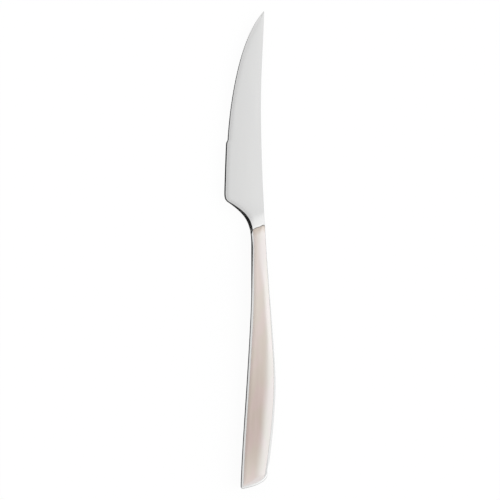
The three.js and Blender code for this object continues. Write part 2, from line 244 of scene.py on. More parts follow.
# %% Sections of the steel, in millimetres
HALF_TANG = (steel_high.z - steel_low.z) / (2 * MM)
SPINE_THICKNESS = 2.3
TIP_SPINE_THICKNESS = 1.2
BELLY_THICKNESS = 1.5
TIP_BELLY_THICKNESS = 0.9
EDGE_THICKNESS = 0.3
NECK_RISE = 16  # length of the ramp over the neck
NECK_POWER = 2.8  # how late the ramp over the neck steepens
SHOULDER_Y = -0.6  # where the ramp ends, at the inlay's head
LIP_Y = 0.9  # where a steeper lip begins, just before that
LIP_SHARE = 0.08  # of the rise from blade to tang
BEVEL_HEIGHTS = (-105, -85, -35, -20, -9, -2, -0.5, 5, 9, HEEL_Y, STEP_FOOT_Y, STEP_HEAD_Y, TIP_Y)
BEVEL_WIDTHS = (0.45, 0.52, 0.38, 0.66, 0.86, 0.5, 1.35, 1.65, 1.45, 0.68, 0.63, 0.5, 0.26)
BEVEL_FALL = 0.6  # how far the front bevel falls for each millimetre of its width
SPINE_BEVEL = 0.05
BACK_BEVEL = 1.2  # rim along the handle's back, which slopes a little
BACK_FALL = 0.1
WIDEST_BEVEL_SHARE = 0.4
FACE_CROWN = 0.011  # bulge of the blade's face, as a share of its width
ROLL_WIDTH = 2.0  # strip of the face that falls away towards the bevel
ROLL_DROP = 0.2
CORNER_EASE = (0.03, 0.25, 0.06, 0.05)  # edge, front bevel, back bevel, spine
END_ROUND = 1.5  # rounding of the butt's end
END_DROP = 0.6
CORNER_ROUND = 1.8  # rounding of the butt's front corner, from above
CORNER_CUT = 0.42  # share of that rounding by which the corner is pulled in
ARC_STEPS = 4
ROLL_STEPS = 5
FACE_STEPS = 10
END_ROWS = 9
print("the tang is", round(2 * HALF_TANG, 2), "mm thick")


# %% Corners of a section
def slant_at(y):
    """How much higher a line across the knife ends at the back than it starts at the front."""
    full = mix(SHOULDER_SLANT, BUTT_SLANT, np.clip(y / BUTT_Y, 0, 1))
    return full * smooth((HEEL_Y - y) / HEEL_Y)


def front_bevel_at(y):
    return np.interp(y, BEVEL_HEIGHTS, BEVEL_WIDTHS)


def ramp_at(y):
    """0 on the blade and 1 on the tang: a long ramp over the neck, and a short lip at its end."""
    neck = np.clip((SHOULDER_Y + NECK_RISE - y) / NECK_RISE, 0, 1) ** NECK_POWER
    lip = np.clip((LIP_Y - y) / (LIP_Y - SHOULDER_Y), 0, 1)
    return mix(neck, lip, LIP_SHARE)


def section_corners(y, width, bevel):
    """The upper half of each section as six corners, each a distance across and a height."""
    along_blade = np.clip((TIP_Y - y) / BLADE_LENGTH, 0, 1)
    spine = mix(TIP_SPINE_THICKNESS, SPINE_THICKNESS, along_blade) / 2
    above_edge = mix(TIP_BELLY_THICKNESS, BELLY_THICKNESS, along_blade) / 2
    front_face = mix(above_edge, HALF_TANG, ramp_at(y))
    back_face = mix(spine - ROLL_DROP, HALF_TANG, ramp_at(y))
    edge = np.maximum(EDGE_THICKNESS / 2, front_face - BEVEL_FALL * front_bevel_at(y))
    back_bevel = np.minimum(mix(SPINE_BEVEL, BACK_BEVEL, ramp_at(y)), WIDEST_BEVEL_SHARE * width)
    back_edge = np.maximum(EDGE_THICKNESS / 2, back_face - BACK_FALL * back_bevel)
    nothing = np.zeros_like(y)
    distances = [nothing, nothing, bevel, width - back_bevel, width, width]
    levels = [nothing, edge, front_face, back_face, back_edge, nothing]
    return np.stack([np.stack(distances, axis=1), np.stack(levels, axis=1)], axis=2)


print("halfway over the neck the ramp has risen to", round(float(ramp_at(NECK_LENGTH / 2)), 3))

# %% Eased corners and a crowned face
LONGEST_EASE = 0.45  # share of a straight side that one arc may take


def eased(corners, index, ease):
    """The arc that eases one corner of every section."""
    here = corners[:, index]
    ends = []
    for neighbour in (corners[:, index - 1], corners[:, index + 1]):
        way = neighbour - here
        length = np.linalg.norm(way, axis=1, keepdims=True)
        ends.append((here + way * np.minimum(ease / length, LONGEST_EASE))[:, None])
    t = np.linspace(0, 1, ARC_STEPS + 1)[None, :, None]
    return ends[0] * (1 - t) ** 2 + 2 * here[:, None] * t * (1 - t) + ends[1] * t**2


def half_sections(y, width, bevel, roll_width):
    """The upper half of each section with eased corners and a face that bulges and rolls off."""
    corners = section_corners(y, width, bevel)
    arcs = [eased(corners, i + 1, ease) for i, ease in enumerate(CORNER_EASE)]
    reach = arcs[2][:, 0, 0] - arcs[1][:, -1, 0]
    roll_share = np.minimum(roll_width / reach, LONGEST_EASE)[:, None]
    roll = roll_share * np.linspace(0, 1, ROLL_STEPS + 1)[1:]
    flat = mix(roll_share, 1, np.linspace(0, 1, FACE_STEPS + 1)[1:-1])
    t = np.concatenate([roll, flat], axis=1)
    face = mix(arcs[1][:, -1:], arcs[2][:, :1], t[:, :, None])
    on_blade = 1 - ramp_at(y)[:, None]
    left = np.clip(1 - t / roll_share, 0, 1)
    face[:, :, 1] += on_blade * (4 * FACE_CROWN * width[:, None] * t * (1 - t) + ROLL_DROP * (1 - left**2))
    arcs[2][:, :, 1] += on_blade * ROLL_DROP
    arcs[3][:, :, 1] += on_blade * ROLL_DROP
    return np.concatenate([arcs[0], arcs[1], face, arcs[2], arcs[3]], axis=1)


# %% Stations along the knife
TOOTH_PITCH = 1.2
POINTS_PER_TOOTH = 8
STATION_STEPS = (TOOTH_PITCH / POINTS_PER_TOOTH, 0.3, 0.8, 0.25, 0.25, 1.0, 1.2)  # for each front run

even_runs = [evenly(run, length) for run, length in zip(front_runs, STATION_STEPS)]
heights = np.concatenate([run[:-1, 1] for run in even_runs])
heights = heights[heights > BUTT_Y + END_ROUND]
end_turn = np.linspace(math.pi / 2, 0, END_ROWS)
end_rows = BUTT_Y + END_ROUND * (1 - np.cos(end_turn))
station_y = np.concatenate([heights, end_rows])

starts = np.column_stack([front_x(station_y), station_y])
end_y = station_y + slant_at(station_y)
ends = np.column_stack([back_x(end_y), end_y])
widths = np.linalg.norm(ends - starts, axis=1)
along = np.gradient(starts, axis=0)
along /= np.linalg.norm(along, axis=1, keepdims=True)
line_way = (ends - starts) / widths[:, None]
squareness = np.abs(line_way[:, 0] * along[:, 1] - line_way[:, 1] * along[:, 0])
bevels = np.minimum(front_bevel_at(station_y) / squareness, WIDEST_BEVEL_SHARE * widths)
sections = half_sections(station_y, widths, bevels, ROLL_WIDTH / squareness)

shares = sections[:, :, 0] / widths[:, None]
places = mix(starts[:, None], ends[:, None], shares[:, :, None])
from_butt = station_y - BUTT_Y
places += bow(butt_points(0, 0, 0), shares) * fade(from_butt, BOW_REACH)[:, None, None]
rounding = np.clip(from_butt / END_ROUND, 0, 1)
end_level = HALF_TANG - END_DROP * (1 - np.sqrt(1 - (1 - rounding) ** 2))
levels = np.minimum(sections[:, :, 1], end_level[:, None])
corner_pull = fade(from_butt, CORNER_ROUND)[:, None] * fade(sections[:, :, 0], CORNER_ROUND)
places += (CORNER_CUT * CORNER_ROUND * corner_pull / math.sqrt(2))[:, :, None]
upper_skin = np.concatenate([places, levels[:, :, None]], axis=2)
print(len(station_y), "stations of", 2 * upper_skin.shape[1], "points")


# %% A skin over stations
def add_object(name, data):
    thing = bpy.data.objects.new(name, data)
    bpy.context.scene.collection.objects.link(thing)
    return thing


def skin(name, upper, lower):
    """A closed object through rows of upper and lower points, given in the drawing's millimetres."""
    rows, width = upper.shape[:2]
    points = np.concatenate([upper, lower], axis=1).reshape(-1, 3)
    number = np.arange(rows * 2 * width).reshape(rows, 2, width)
    top = number[:, 0]
    bottom = number[:, 1]
    quads = [
        (top[:-1, :-1], top[1:, :-1], top[1:, 1:], top[:-1, 1:]),
        (bottom[:-1, :-1], bottom[:-1, 1:], bottom[1:, 1:], bottom[1:, :-1]),
        (top[:-1, 0], bottom[:-1, 0], bottom[1:, 0], top[1:, 0]),
        (top[:-1, -1], top[1:, -1], bottom[1:, -1], bottom[:-1, -1]),
        (top[0, :-1], top[0, 1:], bottom[0, 1:], bottom[0, :-1]),
        (top[-1, :-1], bottom[-1, :-1], bottom[-1, 1:], top[-1, 1:]),
    ]
    faces = np.concatenate([np.stack(quad, axis=-1).reshape(-1, 4) for quad in quads])
    mesh = bpy.data.meshes.new(name)
    mesh.from_pydata(((points + drawing_zero) * MM).tolist(), [], faces.tolist())
    tidy = bmesh.new()
    tidy.from_mesh(mesh)
    bmesh.ops.recalc_face_normals(tidy, faces=tidy.faces)
    tidy.to_mesh(mesh)
    tidy.free()
    return add_object(name, mesh)


blade = skin("blade_and_tang_steel", upper_skin, upper_skin * (1, 1, -1))
print("steel blank:", len(blade.data.polygons), "faces")

# %% [markdown]
# ## Fine teeth on the edge
# The ground edge has a row of shallow scallops from near the tip to the step. Cutting each one with
# a Boolean would mean fifty cutters. Geometry Nodes can do it in one move instead: every point of
# the bevel knows how far along the edge it lies, how firmly it belongs to the edge and which way is
# inwards, and the tree pushes it in by a parabola that repeats with the pitch of the teeth.


# %% One function for every node
def add_node(tree, kind, sockets=None, **settings):
    """Adds a node, gives it its settings, and fills its sockets with values or links."""
    node = tree.nodes.new(kind)
    for name, value in settings.items():
        setattr(node, name, value)
    for socket, value in (sockets or {}).items():
        if isinstance(value, bpy.types.NodeSocket):
            tree.links.new(value, node.inputs[socket])
        else:
            node.inputs[socket].default_value = value
    return node


# %% Helpers for Geometry Nodes
def new_tree(name, numbers, attributes):
    """A tree with named inputs, and its first sockets by name: these inputs and the stored attributes."""
    tree = bpy.data.node_groups.new(name, "GeometryNodeTree")
    tree.interface.new_socket("Geometry", in_out="OUTPUT", socket_type="NodeSocketGeometry")
    kinds = {"Geometry": "NodeSocketGeometry"}
    kinds.update(dict.fromkeys(numbers, "NodeSocketFloat"))
    kinds["Material"] = "NodeSocketMaterial"
    for label, kind in kinds.items():
        tree.interface.new_socket(label, in_out="INPUT", socket_type=kind)
    known = {socket.name: socket for socket in add_node(tree, "NodeGroupInput").outputs}
    for attribute, kind in attributes.items():
        known[attribute] = add_node(
            tree, "GeometryNodeInputNamedAttribute", {"Name": attribute}, data_type=kind).outputs[0]
    return tree, known


def end_tree(tree, known, offset):
    """Ends a tree: moves the points by an offset, makes the result real and sets its material."""
    moved = add_node(tree, "GeometryNodeSetPosition", {"Geometry": known["Geometry"], "Offset": offset})
    whole = add_node(tree, "GeometryNodeRealizeInstances", {"Geometry": moved.outputs[0]})
    dressed = add_node(tree, "GeometryNodeSetMaterial", {
        "Geometry": whole.outputs[0], "Material": known["Material"]})
    add_node(tree, "NodeGroupOutput", {"Geometry": dressed.outputs[0]})


def add_tree(thing, tree, values):
    """Puts a tree on an object, with its inputs set by the sockets' identifiers."""
    modifier = thing.modifiers.new(tree.name, "NODES")
    modifier.node_group = tree
    for item in tree.interface.items_tree:
        if item.in_out == "INPUT" and item.name in values:
            modifier[item.identifier] = values[item.name]


def give_attribute(thing, name, values, kind="FLOAT"):
    """Stores one number or vector for each point of an object."""
    field = "vector" if kind == "FLOAT_VECTOR" else "value"
    attribute = thing.data.attributes.new(name, kind, "POINT")
    attribute.data.foreach_set(field, np.ascontiguousarray(values, np.float32).ravel())


def settle(thing):
    """Turns an object and its modifiers into a plain mesh."""
    bpy.context.view_layer.update()
    graph = bpy.context.evaluated_depsgraph_get()
    mesh = bpy.data.meshes.new_from_object(thing.evaluated_get(graph))
    thing.modifiers.clear()
    thing.data = mesh


# %% Where each point lies along the edge
TOOTH_DEPTH = 0.15
TIP_PLAIN = 7
STEP_PLAIN = 1.5

tooth_count = int((edge_length - TIP_PLAIN - STEP_PLAIN) / TOOTH_PITCH)
edge_run = np.interp(-station_y, -belly[:, 1], run_along(belly))
on_edge = np.where(station_y >= STEP_HEAD_Y, 1.0, 0.0)
hold = np.clip(1 - sections[:, :, 0] / bevels[:, None], 0, 1) * on_edge[:, None]
inwards = np.column_stack([-along[:, 1], along[:, 0], np.zeros_like(station_y)])


def both_halves(values):
    """Repeats one row of values for the upper and the lower half of the skin."""
    return np.concatenate([values, values], axis=1)


point_count = upper_skin.shape[1]
give_attribute(blade, "edge_run", both_halves(np.repeat(edge_run[:, None], point_count, axis=1)) * MM)
give_attribute(blade, "edge_hold", both_halves(hold))
spread_inwards = np.repeat(inwards[:, None], point_count, axis=1)
give_attribute(blade, "edge_inwards", both_halves(spread_inwards), "FLOAT_VECTOR")
print(tooth_count, "teeth of", TOOTH_PITCH, "mm")

# %% [markdown]
# ## Polished stainless steel
# Cutlery steel is stamped, ground and polished until it mirrors softly, with the faint lengthwise
# lines of the polishing belt left in it. A mirror with one roughness would look like chrome. So the
# lines vary the roughness and the tone a little, and wider, fainter clouds stand for the way that
# a polished face catches light unevenly.


# %% Colours and the steel
def linear(code):
    """A hex sRGB colour as the linear colour that shaders take."""
    channels = [int(code[i:i + 2], 16) / 255 for i in (1, 3, 5)]
    return [c / 12.92 if c <= 0.04045 else ((c + 0.055) / 1.055) ** 2.4 for c in channels] + [1.0]


def new_material(name):
    """An empty material made of nodes."""
    material = bpy.data.materials.new(name)
    material.use_nodes = True
    material.node_tree.nodes.clear()
    return material


def stretched(tree, width_mm, length_mm):
    """Object coordinates scaled so that one unit is a width across and a length along the knife."""
    coordinates = add_node(tree, "ShaderNodeTexCoord")
    scale = (1 / (width_mm * MM), 1 / (length_mm * MM), 1 / (width_mm * MM))
    sockets = {"Vector": coordinates.outputs["Object"], "Scale": scale}
    return add_node(tree, "ShaderNodeMapping", sockets).outputs["Vector"]


BELT_LINE = 0.7  # real belt lines are about 0.05 mm apart, too fine to show, so they are drawn coarser
BELT_LENGTH = 30
BELT_HEIGHT = 0.02
BELT_STRENGTH = 0.04  # how much of that height polishing has left
CLOUD_WIDTH = 9
CLOUD_LENGTH = 26
CLOUD_SHARE = 0.6  # what the clouds count beside the lines
STEEL_ROUGHNESS = (0.17, 0.27)


def polished_steel():
    """Polished stainless steel: bright, nearly neutral, with soft reflections drawn out lengthwise."""
    material = new_material("polished_stainless_steel")
    tree = material.node_tree
    lines = add_node(tree, "ShaderNodeTexNoise", {
        "Vector": stretched(tree, BELT_LINE, BELT_LENGTH), "Scale": 1.0, "Detail": 3.0}).outputs["Fac"]
    clouds = add_node(tree, "ShaderNodeTexNoise", {
        "Vector": stretched(tree, CLOUD_WIDTH, CLOUD_LENGTH), "Scale": 1.0, "Detail": 2.0}).outputs["Fac"]
    both = add_node(tree, "ShaderNodeMath", {
        0: clouds, 1: CLOUD_SHARE, 2: lines}, operation="MULTIPLY_ADD").outputs[0]
    tone = add_node(tree, "ShaderNodeMapRange", {"Value": both, "From Max": 1 + CLOUD_SHARE})
    colour = add_node(tree, "ShaderNodeMix", {
        "Factor": tone.outputs[0], "A": linear("#dcdcdc"), "B": linear("#e3e3e2")}, data_type="RGBA")
    gloss = add_node(tree, "ShaderNodeMapRange", {
        "Value": both, "From Max": 1 + CLOUD_SHARE,
        "To Min": STEEL_ROUGHNESS[0], "To Max": STEEL_ROUGHNESS[1]})
    relief = add_node(tree, "ShaderNodeBump", {
        "Height": lines, "Strength": BELT_STRENGTH, "Distance": BELT_HEIGHT * MM})
    shader = add_node(tree, "ShaderNodeBsdfPrincipled", {
        "Base Color": colour.outputs["Result"], "Metallic": 1.0,
        "Roughness": gloss.outputs[0], "Normal": relief.outputs[0]})
    add_node(tree, "ShaderNodeOutputMaterial", {"Surface": shader.outputs[0]})
    return material


steel = polished_steel()
print("made", steel.name)

# %% The tree that cuts the teeth
tooth_tree, known = new_tree("edge_teeth", ("Pitch", "Depth", "First", "Last"), {
    "edge_run": "FLOAT", "edge_hold": "FLOAT", "edge_inwards": "FLOAT_VECTOR"})
tooth_sums = (  # a name, an operation and its terms: inputs, attributes, numbers or earlier results
    ("past", "SUBTRACT", "edge_run", "First"),
    ("turns", "DIVIDE", "past", "Pitch"),
    ("phase", "FRACT", "turns"),
    ("rest", "SUBTRACT", 1.0, "phase"),
    ("arch", "MULTIPLY", "phase", "rest"),
    ("deep", "MULTIPLY", "Depth", 4.0),  # the arch alone peaks at a quarter
    ("cut", "MULTIPLY", "arch", "deep"),
    ("evened", "MULTIPLY_ADD", "Depth", -2 / 3, "cut"),  # less its mean, so it stands out as much as in
    ("begun", "GREATER_THAN", "edge_run", "First"),
    ("open_still", "LESS_THAN", "edge_run", "Last"),
    ("inside", "MULTIPLY", "begun", "open_still"),
    ("gated", "MULTIPLY", "evened", "inside"),
    ("amount", "MULTIPLY", "gated", "edge_hold"),
)
for name, operation, *terms in tooth_sums:
    sockets = {index: known.get(term, term) for index, term in enumerate(terms)}
    known[name] = add_node(tooth_tree, "ShaderNodeMath", sockets, operation=operation).outputs[0]
push = add_node(tooth_tree, "ShaderNodeVectorMath", {
    0: known["edge_inwards"], "Scale": known["amount"]}, operation="SCALE")
end_tree(tooth_tree, known, push.outputs[0])

add_tree(blade, tooth_tree, {
    "Pitch": TOOTH_PITCH * MM, "Depth": TOOTH_DEPTH * MM, "First": TIP_PLAIN * MM,
    "Last": (TIP_PLAIN + tooth_count * TOOTH_PITCH) * MM, "Material": steel})
settle(blade)
print("toothed blade:", len(blade.data.polygons), "faces")

# %% [markdown]
# ## The plan of an inlay
# Each inlay fills a tray in the tang, with a narrow rim of steel around it. Its plan is a patch
# between four lines: the front and back outlines moved in by the rim, the shoulder line at the head
# and the butt's curve at the tail. Scaling the outline down would make the rim uneven, so the lines
# are moved in and the patch is spread between them. A small gap widens the plan for the tray.

# %% Rims and gaps, in millimetres
FRONT_RIM = 1.38
BACK_RIM = 1.4  # at the butt
SHOULDER_BACK_RIM = 0.2
BUTT_RIM = 1.6
HEAD_FRONT_Y = -0.55  # where the head's line meets the two outlines
HEAD_BACK_Y = 3.35
INLAY_CORNER = 1.5
HEAD_WAVE = 0.2  # how far the head swings either side of that line
HEAD_ARCH = 0.22  # how far its middle stands above that line
FRONT_GAP = 0.02  # what glue leaves open around the inlay
BACK_GAP = 0.05
HEAD_GAP = 0.29


def inlay_plan(front_gap, back_gap, head_gap):
    """A function that places a point of the plan by its shares down and across, and the plan's length."""
    def back_rim_at(y):
        return mix(SHOULDER_BACK_RIM, BACK_RIM, np.clip(y / BUTT_Y, 0, 1)) - back_gap

    line_start = np.array([front_x(0), HEAD_FRONT_Y + head_gap])
    line_end = np.array([back_x(HEAD_BACK_Y), HEAD_BACK_Y + head_gap])
    slope = (line_end - line_start)[1] / (line_end - line_start)[0]
    line_unit = (line_end - line_start) / np.linalg.norm(line_end - line_start)
    corner_x = line_end[0] - back_rim_at(0)
    corner = np.array([corner_x, line_start[1] + (corner_x - line_start[0]) * slope])
    head_front_y = line_start[1] + (FRONT_RIM - front_gap) * slope
    head_back_y = corner[1] - INLAY_CORNER
    tail = butt_points(FRONT_RIM - front_gap, BACK_RIM - back_gap, BUTT_RIM - back_gap)

    def front_side(down):
        y = mix(head_front_y, tail[0][1], down)
        return np.stack([front_x(y) + FRONT_RIM - front_gap, y], axis=-1)

    def back_side(down):
        y = mix(head_back_y, tail[3][1], down)
        return np.stack([back_x(y) - back_rim_at(y), y], axis=-1)

    head_start = front_side(np.array(0.0))
    head_end = back_side(np.array(0.0))
    corner_start = corner - line_unit * INLAY_CORNER
    turn = mix(corner_start, corner, FINE[:, None]) * (1 - FINE[:, None])
    turn += mix(corner, head_end, FINE[:, None]) * FINE[:, None]
    upwards = np.array([-line_unit[1], line_unit[0]])
    swing = HEAD_WAVE * np.sin(2 * math.pi * FINE) + HEAD_ARCH * np.sin(math.pi * FINE)
    wave = swing[:, None] * upwards
    head = np.concatenate([(line(head_start, corner_start) + wave)[:-1], turn])
    head_run = run_along(head) / run_along(head)[-1]
    length = head_front_y - tail[0][1]

    def place(down, share):
        point = mix(front_side(down), back_side(down), share[..., None])
        on_head = np.stack([np.interp(share, head_run, head[:, k]) for k in range(2)], axis=-1)
        head_bow = on_head - mix(head_start, head_end, share[..., None])
        point = point + head_bow * fade(down * length, BOW_REACH)[..., None]
        return point + bow(tail, share) * fade((1 - down) * length, BOW_REACH)[..., None]

    return place, length


place_inlay, inlay_length = inlay_plan(0, 0, -HEAD_GAP)
place_tray, _ = inlay_plan(FRONT_GAP, BACK_GAP, 0)
print("an inlay is", round(float(inlay_length), 1), "mm long")

# %% [markdown]
# ## Trays and pin holes
# The trays are milled out of the tang on both faces, and three blind pins pass through the web that
# is left. They could be modelled into the loft, but their ends cross its lines at a slant. So they
# are cut as a cutter cuts them: a prism with the plan of the tray, and a round bar for each pin. The
# cut faces are dull and stained with glue, which draws a fine line around the inlays, so the cutter
# carries that finish and leaves it on the faces that it makes.

# %% The finish of a cut face
STAIN = 1.5  # width of a stain in millimetres


def clouded_finish(name, pattern, detail, colours, roughness, surface):
    """A finish between two colours and two roughnesses, in a pattern with a width and a length."""
    material = new_material(name)
    tree = material.node_tree
    clouds = add_node(tree, "ShaderNodeTexNoise", {
        "Vector": stretched(tree, *pattern), "Scale": 1.0, "Detail": detail}).outputs["Fac"]
    colour = add_node(tree, "ShaderNodeMix", {
        "Factor": clouds, "A": linear(colours[0]), "B": linear(colours[1])}, data_type="RGBA")
    gloss = add_node(tree, "ShaderNodeMapRange", {
        "Value": clouds, "To Min": roughness[0], "To Max": roughness[1]})
    shader = add_node(tree, "ShaderNodeBsdfPrincipled", {
        "Base Color": colour.outputs["Result"], "Roughness": gloss.outputs[0], **surface})
    add_node(tree, "ShaderNodeOutputMaterial", {"Surface": shader.outputs[0]})
    return material


# Milled steel under a haze of glue: light brown and dull
stained = clouded_finish(
    "glue_stained_milled_steel", pattern=(STAIN, STAIN), detail=3.0, colours=("#b3a699", "#c4b7aa"),
    roughness=(0.55, 0.75), surface={"Metallic": 0.2})
print("made", stained.name)

# %% Cutters for trays and holes
PIN_CLEARANCE = 0.15
CUTTER_ABOVE = 8  # cutters reach well past the steel
SIDE_COUNT = 160
END_COUNT = 40
HOLE_COUNT = 48

pins = ["dowel_pin_1", "dowel_pin_2", "dowel_pin_3"]
film_low, film_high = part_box("front_adhesive")
WEB_TOP = film_low.z / MM - drawing_zero[2]
INLAY_FLOOR = film_high.z / MM - drawing_zero[2]
CROWN = cad_box[1].z / MM - drawing_zero[2]
print("the web is", round(2 * WEB_TOP, 2), "mm thick")


def rim_line(place):
    """The outline of a plan, once round."""
    sides = np.linspace(0, 1, SIDE_COUNT, endpoint=False)
    ends = np.linspace(0, 1, END_COUNT, endpoint=False)
    none = np.zeros_like
    return np.concatenate([
        place(sides, none(sides)), place(none(ends) + 1, ends),
        place(1 - sides, none(sides) + 1), place(none(ends), 1 - ends)])


def prism(shapes, finish):
    """Upright solids in one mesh. Each shape is an outline and two levels, in the drawing's millimetres."""
    solid = bmesh.new()
    for outline, low, high in shapes:
        corners = np.column_stack([outline, np.full(len(outline), low)])
        points = [solid.verts.new(p) for p in ((corners + drawing_zero) * MM).tolist()]
        floor = solid.faces.new(points)
        raised = bmesh.ops.extrude_face_region(solid, geom=[floor])["geom"]
        top = [part for part in raised if isinstance(part, bmesh.types.BMVert)]
        bmesh.ops.translate(solid, verts=top, vec=(0, 0, (high - low) * MM))
    bmesh.ops.recalc_face_normals(solid, faces=solid.faces)
    mesh = bpy.data.meshes.new("cutter")
    solid.to_mesh(mesh)
    solid.free()
    mesh.materials.append(finish)
    return add_object("cutter", mesh)


def pin_holes(finish):
    """A bar for each pin, with clearance around it and past its ends."""
    shapes = []
    turn = np.linspace(0, 2 * math.pi, HOLE_COUNT, endpoint=False)
    for pin in pins:
        low, high = (np.array(corner) / MM - drawing_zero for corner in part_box(pin))
        middle = (low + high) / 2
        radius = (high - low)[0] / 2 + PIN_CLEARANCE
        ring = middle[:2] + radius * np.column_stack([np.cos(turn), np.sin(turn)])
        shapes.append((ring, low[2] - PIN_CLEARANCE, high[2] + PIN_CLEARANCE))
    return prism(shapes, finish)


# %% Cut trays and holes
def cut_away(thing, cutter):
    """Cuts one object out of another and removes the cutter."""
    modifier = thing.modifiers.new("cut", "BOOLEAN")
    modifier.solver = "MANIFOLD"
    modifier.operation = "DIFFERENCE"
    modifier.material_mode = "TRANSFER"
    modifier.object = cutter
    settle(thing)
    bpy.data.objects.remove(cutter)


tray_line = rim_line(place_tray)
tray_shapes = [(tray_line, WEB_TOP, CUTTER_ABOVE), (tray_line, -CUTTER_ABOVE, -WEB_TOP)]
cut_away(blade, prism(tray_shapes, stained))
cut_away(blade, pin_holes(stained))
print("steel with trays:", len(blade.data.polygons), "faces,", len(blade.data.materials), "finishes")

# %% [markdown]
# ## Champagne pearl acrylic
# The inlays are cast acrylic with mica in it. Clear plastic on top gives a sharp gloss, and the
# flakes below it give a soft, half-metallic glow that changes with the angle. A plain glossy plastic
# would miss that glow, and a metal would miss the gloss, so the shader is a slightly metallic base
# under a clear coat. The mica flowed lengthwise as the plastic was cast, which leaves soft streaks,
# and the colour is darker and pinker around the swell. The flank along the back and round the butt
# is painted paler and more neutral, a painted sheen, and the pearl below the head is painted darker,
# a painted shade where the inlay meets the steel.

# %% Patterns in the pearl, in millimetres where nothing else is said
STREAK_WIDTH = 2.2
STREAK_LENGTH = 45
STREAK_RANGE = (0.3, 0.7)  # of the noise that draws them
STREAK_SHARE = 0.35
FLAKE = 0.35  # mica flakes are about 0.05 mm, too fine to show, so they are drawn coarser
FLAKE_METAL = (0.04, 0.16)
DRIFT_WIDTH = 5  # clouds of rose and gold in the mica
DRIFT_LENGTH = 11
DRIFT_RANGE = (0.35, 0.65)
DRIFT_SHARE = 0.25
PINK_FROM = (-8 * MM, -100 * MM)  # along the frame's Y, where the pink comes in
PINK_TO = (-126 * MM, -92 * MM)  # and where it goes out again
RIDGE_PAINTED_SHEEN = (1.5, 0.45)  # widths of the flank from the back, between which the pearl turns pale: painted sheen for the light that the flank catches
HEAD_SHADE = (3.6 * MM, 0.3 * MM)  # painted shade: from this far off the head to this, the pearl darkens where it meets the steel
HEAD_SHADE_SHARE = 0.7
PEARL_ROUGHNESS = (0.3, 0.42)
PEARL_IOR = 2.0  # the coating on mica bends light more than plastic does
ACRYLIC_IOR = 1.49
ACRYLIC_ROUGHNESS = 0.05
print("streaks of", STREAK_WIDTH, "by", STREAK_LENGTH, "mm")


# %% The pearl
def pearl_acrylic():
    """Cast acrylic with champagne mica: pale, pinkish, glossy on top and softly glowing below."""
    material = new_material("champagne_pearl_acrylic")
    tree = material.node_tree
    streaks = add_node(tree, "ShaderNodeTexNoise", {
        "Vector": stretched(tree, STREAK_WIDTH, STREAK_LENGTH), "Scale": 1.0, "Detail": 2.0}).outputs["Fac"]
    drift = add_node(tree, "ShaderNodeTexNoise", {
        "Vector": stretched(tree, DRIFT_WIDTH, DRIFT_LENGTH), "Scale": 1.0, "Detail": 1.0}).outputs["Fac"]
    flakes = add_node(tree, "ShaderNodeTexVoronoi", {"Vector": stretched(tree, FLAKE, FLAKE), "Scale": 1.0})
    coordinates = add_node(tree, "ShaderNodeTexCoord").outputs["Object"]
    along = add_node(tree, "ShaderNodeSeparateXYZ", {"Vector": coordinates}).outputs["Y"]
    off_ridge, from_head = (
        add_node(tree, "ShaderNodeAttribute", attribute_name=name).outputs["Fac"]
        for name in ("off_ridge", "from_head"))
    coming, going, painted_sheen, goldness, shade = (
        add_node(tree, "ShaderNodeMapRange", {
            "Value": value, "From Min": none, "From Max": full, "To Max": most},
            interpolation_type="SMOOTHSTEP").outputs[0]
        for value, (none, full), most in (
            (along, PINK_FROM, 1.0), (along, PINK_TO, 1.0), (off_ridge, RIDGE_PAINTED_SHEEN, 1.0),
            (drift, DRIFT_RANGE, 1.0), (from_head, HEAD_SHADE, HEAD_SHADE_SHARE)))
    pinkness = add_node(tree, "ShaderNodeMath", {0: coming, 1: going}, operation="MULTIPLY")
    streak_share = add_node(tree, "ShaderNodeMapRange", {
        "Value": streaks, "From Min": STREAK_RANGE[0], "From Max": STREAK_RANGE[1], "To Max": STREAK_SHARE})
    rose_and_gold = add_node(tree, "ShaderNodeMix", {
        "Factor": goldness, "A": linear("#d8beba"), "B": linear("#cac0aa")}, data_type="RGBA")
    layers = (
        (pinkness.outputs[0], linear("#a48d83")),  # pink around the swell
        (streak_share.outputs[0], linear("#d2c7bf")),  # pale streaks
        (painted_sheen, linear("#d5d3d1")),  # painted sheen: the flank along the back and the butt, paler and more neutral
        (DRIFT_SHARE, rose_and_gold.outputs["Result"]),
        (shade, linear("#b9a999")),  # painted shade below the head, where the inlay meets the steel
    )
    colour = linear("#d8cdc6")
    for share, layer in layers:
        colour = add_node(tree, "ShaderNodeMix", {
            "Factor": share, "A": colour, "B": layer}, data_type="RGBA").outputs["Result"]
    sparkle = add_node(tree, "ShaderNodeMapRange", {
        "Value": flakes.outputs["Color"], "To Min": FLAKE_METAL[0], "To Max": FLAKE_METAL[1]})
    gloss = add_node(tree, "ShaderNodeMapRange", {
        "Value": streaks, "To Min": PEARL_ROUGHNESS[0], "To Max": PEARL_ROUGHNESS[1]})
    shader = add_node(tree, "ShaderNodeBsdfPrincipled", {
        "Base Color": colour, "Metallic": sparkle.outputs[0], "Roughness": gloss.outputs[0],
        "IOR": PEARL_IOR, "Coat Weight": 1.0, "Coat Roughness": ACRYLIC_ROUGHNESS,
        "Coat IOR": ACRYLIC_IOR})
    add_node(tree, "ShaderNodeOutputMaterial", {"Surface": shader.outputs[0]})
    return material


pearl = pearl_acrylic()
print("made", pearl.name)

# %% [markdown]
# ## The inlays
# An inlay rises from its rim in a shoulder, runs flat over the middle and falls again. The front
# shoulder is short and round. The back one is a broad flank with a crisp ridge, wide at the shoulder
# of the knife, narrow halfway and wide again at the swell, and it catches most of the light. That is
# a rule about distances from the sides, so the inlay is a main piece for Geometry Nodes: each point
# of a flat slab knows its distance from the four sides, and the tree lifts it.

